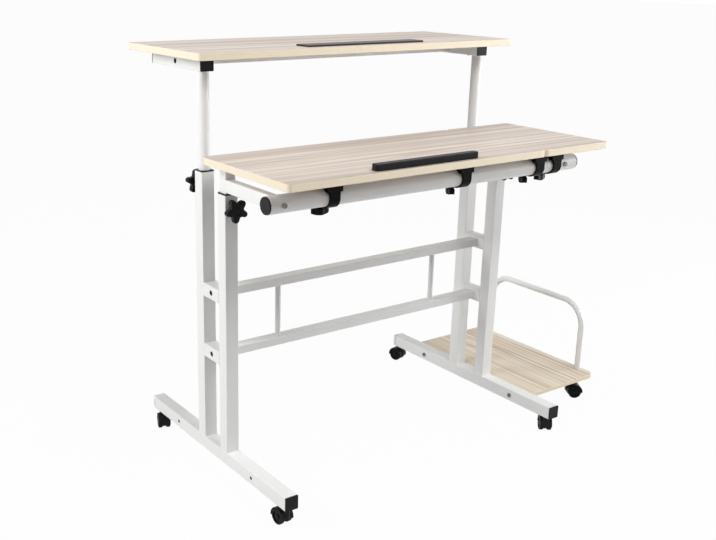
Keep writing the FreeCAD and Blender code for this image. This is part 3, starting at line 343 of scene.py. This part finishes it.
# Widths in millimetres
SOFT_EDGES = {
    "front_foot_caps": 1.2, "rear_foot_caps": 1.0, "bracket_caps": 1.0, "post_bushings": 0.6,
    "front_pipe_caps": 1.6, "front_pipe_screws": 0.8,
    "main_clamp_saddles": 1.2, "main_clamp_straps": 1.0,
    "side_clamp_saddles": 1.2, "side_clamp_straps": 1.0,
}
for name, width in SOFT_EDGES.items():
    soften(name, width * MM)


# Knobs

STAR_LOBES, STAR_EDGE_STEPS = 5, 4
STAR_TIP, STAR_VALLEY = 27.0 * MM, 16.5 * MM
STAR_BACK, STAR_EDGE = 6.0 * MM, 3.4 * MM
STAR_NECK, NECK_START, NECK_CHAMFER = 9.0 * MM, 1.0 * MM, 1.0 * MM
STAR_DISH, STAR_DISH_DEPTH, DISH_MIDDLE = 9.0 * MM, 2.0 * MM, 0.5 * MM
DISH_LIP, DISH_LIP_DEPTH, DISH_SLOPE = 0.6 * MM, 0.5 * MM, 1.6 * MM
STUD_RADIUS, THREAD_PITCH, THREAD_DEPTH = 3.9 * MM, 1.25 * MM, 0.55 * MM
STAR_TURNS = {"front_left": -26, "front_right": 18, "rear_left": 48, "rear_right": 20}

WING_LENGTH, WING_THICK, WING_HEIGHT = 44.0 * MM, 14.0 * MM, 20.5 * MM
WING_DROP, WING_EDGE, WING_KEEL = 6.0 * MM, 1.4 * MM, 60.0 * MM
WING_HUB, WING_BORE, WING_RIBS, WING_RIB_DEPTH = 9.0 * MM, 3.3 * MM, 3, 0.5 * MM
WING_COLLAR, COLLAR_CHAMFER, COLLAR_DEPTH = 8.6 * MM, 0.6 * MM, 0.6 * MM
WING_SQUARE, WING_BLEND = 4, 8
WING_EDGE_SHARE = 0.4
WING_TURNS = {"main_left": 4, "main_right": 62, "side_left": 58, "side_right": 15}

SKIN_STEPS = 120
SMOOTH_BELOW = math.radians(38)


def skin(name, rings, place, material, ends_open):
    """A closed skin through rings, each a function from an angle to a point.

    Open ends are joined to each other, as in a piece with a bore.
    """
    builder = bmesh.new()
    angles = [2 * math.pi * step / SKIN_STEPS for step in range(SKIN_STEPS)]
    loops = [[builder.verts.new(place @ Vector(ring(angle))) for angle in angles] for ring in rings]
    pairs = list(zip(loops, loops[1:]))
    if ends_open:
        pairs.append((loops[-1], loops[0]))
    else:
        builder.faces.new(loops[0])
        builder.faces.new(loops[-1])
    for first, second in pairs:
        for step in range(SKIN_STEPS):
            after = (step + 1) % SKIN_STEPS
            builder.faces.new((first[step], first[after], second[after], second[step]))
    bmesh.ops.recalc_face_normals(builder, faces=builder.faces)
    mesh = bpy.data.meshes.new(name)
    builder.to_mesh(mesh)
    builder.free()
    mesh.shade_smooth()
    mesh.set_sharp_from_angle(angle=SMOOTH_BELOW)
    mesh.materials.append(material)
    piece = bpy.data.objects.new(name, mesh)
    bpy.context.collection.objects.link(piece)
    return piece


def circle(radius, height):
    return lambda angle: (radius * math.cos(angle), radius * math.sin(angle), height)


def star_ring(inset, height):
    """The star's outline, drawn in by an inset."""
    def point(angle):
        wave = (1 + math.cos(STAR_LOBES * angle)) / 2
        lobe = (wave + wave * wave * (3 - 2 * wave)) / 2
        radius = STAR_VALLEY + (STAR_TIP - STAR_VALLEY) * lobe - inset
        return radius * math.cos(angle), radius * math.sin(angle), height
    return point


def star_rings(stud_end, face):
    """Rings of a star knob from the end of its stud to its dished face."""
    rings = [circle(STUD_RADIUS - THREAD_DEPTH, stud_end)]
    height = stud_end
    while height < -THREAD_PITCH:
        rings.append(circle(STUD_RADIUS, height + THREAD_PITCH / 2))
        rings.append(circle(STUD_RADIUS - THREAD_DEPTH, height + THREAD_PITCH))
        height += THREAD_PITCH
    rings += [circle(STUD_RADIUS, NECK_START), circle(STAR_NECK - NECK_CHAMFER, NECK_START),
              circle(STAR_NECK, NECK_START + NECK_CHAMFER), circle(STAR_NECK, STAR_BACK)]
    quarter = [math.pi / 2 * step / STAR_EDGE_STEPS for step in range(STAR_EDGE_STEPS + 1)]
    curve = [(STAR_EDGE * (1 - math.sin(turn)), STAR_EDGE * (1 - math.cos(turn))) for turn in quarter]
    rings += [star_ring(inset, STAR_BACK + rise) for inset, rise in curve]
    rings += [star_ring(inset, face - rise) for inset, rise in reversed(curve)]
    floor = face - STAR_DISH_DEPTH
    rings += [circle(STAR_DISH, face), circle(STAR_DISH - DISH_LIP, face - DISH_LIP_DEPTH),
              circle(STAR_DISH - DISH_SLOPE, floor), circle(DISH_MIDDLE, floor)]
    return rings


def wing_ring(inset, height):
    """The outline of hub and wings, drawn in by an inset, at a height that varies along the wings."""
    def point(angle):
        long, short = WING_LENGTH / 2 * math.cos(angle), WING_THICK / 2 * math.sin(angle)
        way = math.atan2(short, long)
        lengthwise = abs(2 * math.cos(way) / WING_LENGTH)
        crosswise = abs(2 * math.sin(way) / WING_THICK)
        oval = (lengthwise ** WING_SQUARE + crosswise ** WING_SQUARE) ** (-1 / WING_SQUARE)
        radius = (oval ** WING_BLEND + WING_HUB ** WING_BLEND) ** (1 / WING_BLEND) - inset
        x, y = radius * math.cos(way), radius * math.sin(way)
        return x, y, height(x)
    return point


def wing_rings():
    """Rings of a wing knob from its bore over hub, wings and ribs to its keel."""
    def keel(x):
        return x * x / (2 * WING_KEEL) - WING_HEIGHT

    def between(share):
        return lambda x: -(WING_DROP + WING_EDGE) * (1 - share) + (keel(x) + WING_EDGE) * share

    rounding = WING_EDGE_SHARE * WING_EDGE
    rings = [circle(WING_BORE, 0), circle(WING_COLLAR - COLLAR_CHAMFER, 0),
             circle(WING_COLLAR, -COLLAR_DEPTH), circle(WING_COLLAR, -WING_DROP),
             wing_ring(WING_EDGE, lambda x: -WING_DROP),
             wing_ring(rounding, lambda x: -WING_DROP - rounding)]
    for rib in range(WING_RIBS):
        rings.append(wing_ring(0, between(rib / WING_RIBS)))
        rings.append(wing_ring(WING_RIB_DEPTH, between((rib + 0.5) / WING_RIBS)))
    rings += [wing_ring(0, between(1)), wing_ring(rounding, lambda x: keel(x) + rounding),
              wing_ring(WING_EDGE, keel), circle(WING_BORE, -WING_HEIGHT)]
    return rings


def joint_named(joint_name):
    return next(entry for entry in frame["joints"] if entry["name"] == joint_name)


def joint_place(joint_name, turn):
    """The frame of a joint, with Z along its axis, turned about that axis."""
    joint = joint_named(joint_name)
    axis = Vector(joint["axis"])
    across = Vector((1, 0, 0))
    turned = Matrix((across, axis.cross(across), axis)).transposed().to_4x4()
    return Matrix.Translation(joint["pos_m"]) @ turned @ Matrix.Rotation(math.radians(turn), 4, "Z")


def reach_along(node_name, place):
    """How far a node reaches down and up the Z axis of a place."""
    inverse = place.inverted()
    heights = [(inverse @ vertex.co).z for vertex in frame["nodes"][node_name].data.vertices]
    return min(heights), max(heights)


def stand_for(piece, node_name, body):
    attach(piece, body)
    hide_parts(node_name)


for corner, turn in STAR_TURNS.items():
    place = joint_place(f"star_{corner}_turn", turn)
    stud_end, face = reach_along(f"star_knob_{corner}", place)
    rings = star_rings(stud_end, face)
    star = skin(f"star_{corner}_moulding", rings, place, KNOB_PLASTIC, ends_open=False)
    stand_for(star, f"star_knob_{corner}", f"star_{corner}")
for clamp, turn in WING_TURNS.items():
    _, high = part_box(f"wing_knob_{clamp}")
    joint_x, joint_y, _ = joint_named(f"wing_{clamp}_turn")["pos_m"]
    axis_point = Vector((joint_x, joint_y, high.z))
    place = Matrix.Translation(axis_point) @ Matrix.Rotation(math.radians(turn), 4, "Z")
    wing = skin(f"wing_{clamp}_moulding", wing_rings(), place, CLAMP_PLASTIC, ends_open=True)
    stand_for(wing, f"wing_knob_{clamp}", f"wing_{clamp}")


# Floor, world and lights

FLOOR_SIZE = 60.0
FLOOR_SHOW = 0.97
FLOOR_ROUGHNESS = 0.9
WORLD_FILL = 0.01

# Soft boxes: place, target, side of the square in metres, power in watts
LAMPS = {
    "key_left": ((-3.0, 0.6, 2.0), (0, 0, 0.6), 1.8, 87),
    "top": ((0.9, 0.3, 3.0), (0.2, 0.1, 0.5), 1.6, 6),
    "front_top": ((0.0, -1.7, 2.7), (0, -0.2, 0.6), 1.0, 43),
    "front_right": ((2.2, -1.7, 1.3), (0.2, -0.1, 0.5), 1.0, 20),
    "right_low": ((2.2, -0.6, 0.5), (0.3, 0, 0.4), 1.0, 21),
}


def white_floor():
    """A plain pale floor that shows white and keeps a soft shadow."""
    bpy.ops.mesh.primitive_plane_add(size=FLOOR_SIZE, location=(0, 0, 0))
    floor = bpy.context.object
    floor.name = "floor"
    tree = Tree("floor_white")
    paper = tree.noise(tree.coordinates(), FLOOR_CLOUD)
    tint = tree.ramp(paper, [(0.3, grey(FLOOR_DARK)), (0.7, grey(FLOOR_PALE))])
    tree.link(tint, tree.shader.inputs["Base Color"])
    tree.shader.inputs["Roughness"].default_value = FLOOR_ROUGHNESS
    glow = tree.add("ShaderNodeEmission")
    glow.inputs["Color"].default_value = (1, 1, 1, 1)
    rays = tree.add("ShaderNodeLightPath")
    seen = tree.math("MAXIMUM", rays.outputs["Is Camera Ray"], rays.outputs["Is Glossy Ray"])
    amount = tree.add("ShaderNodeMath", operation="MULTIPLY")
    tree.link(seen, amount.inputs[0])
    amount.inputs[1].default_value = FLOOR_SHOW
    blend = tree.add("ShaderNodeMixShader")
    tree.link(amount.outputs[0], blend.inputs[0])
    tree.link(tree.shader.outputs[0], blend.inputs[1])
    tree.link(glow.outputs[0], blend.inputs[2])
    tree.link(blend.outputs[0], tree.nodes["Material Output"].inputs["Surface"])
    floor.data.materials.append(tree.material)
    floor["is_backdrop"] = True


def studio_world(strength):
    """Even light from all round, white where the camera or a reflection sees it."""
    world = bpy.data.worlds.new("studio")
    bpy.context.scene.world = world
    world.use_nodes = True
    nodes, links = world.node_tree.nodes, world.node_tree.links
    background = nodes["Background"]
    background.inputs["Color"].default_value = (1, 1, 1, 1)
    rays = nodes.new("ShaderNodeLightPath")
    seen = nodes.new("ShaderNodeMath")
    seen.operation = "MAXIMUM"
    links.new(rays.outputs["Is Camera Ray"], seen.inputs[0])
    links.new(rays.outputs["Is Glossy Ray"], seen.inputs[1])
    level = nodes.new("ShaderNodeMapRange")
    level.inputs["To Min"].default_value = strength
    level.inputs["To Max"].default_value = 1.0
    links.new(seen.outputs[0], level.inputs["Value"])
    links.new(level.outputs["Result"], background.inputs["Strength"])


def soft_box(name, place, target, size, power):
    """A square area light aimed at a point."""
    lamp = bpy.data.lights.new(name, "AREA")
    lamp.size = size
    lamp.energy = power
    holder = bpy.data.objects.new(name, lamp)
    bpy.context.collection.objects.link(holder)
    holder.location = place
    holder.rotation_euler = (Vector(target) - Vector(place)).to_track_quat("-Z", "Y").to_euler()


white_floor()
studio_world(WORLD_FILL)
for name, (place, target, size, power) in LAMPS.items():
    soft_box(name, place, target, size, power)


# Camera

def photo_camera():
    """The photograph's viewpoint, as a camera with a small shift."""
    ahead = Vector((math.sin(CAMERA_YAW), math.cos(CAMERA_YAW), 0))
    forward = math.cos(CAMERA_PITCH) * ahead - math.sin(CAMERA_PITCH) * Vector((0, 0, 1))
    level = Vector((math.cos(CAMERA_YAW), -math.sin(CAMERA_YAW), 0))
    upward = level.cross(forward)
    right = math.cos(CAMERA_ROLL) * level + math.sin(CAMERA_ROLL) * upward
    above = -math.sin(CAMERA_ROLL) * level + math.cos(CAMERA_ROLL) * upward
    data = bpy.data.cameras.new("photo_camera")
    data.sensor_width = SENSOR_WIDTH
    data.lens = FOCAL_PIXELS * SENSOR_WIDTH / IMAGE_WIDTH
    data.shift_x = (IMAGE_WIDTH / 2 - AXIS_X) / IMAGE_WIDTH
    data.shift_y = (AXIS_Y - IMAGE_HEIGHT / 2) / IMAGE_WIDTH
    data.clip_end = CAMERA_REACH
    camera = bpy.data.objects.new("photo_camera", data)
    bpy.context.collection.objects.link(camera)
    turn = Matrix((right, above, -forward)).transposed()
    camera.matrix_world = Matrix.Translation(CAMERA_PLACE) @ turn.to_4x4()
    bpy.context.scene.camera = camera


photo_camera()
bpy.context.scene.view_settings.view_transform = "Standard"

low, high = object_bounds()
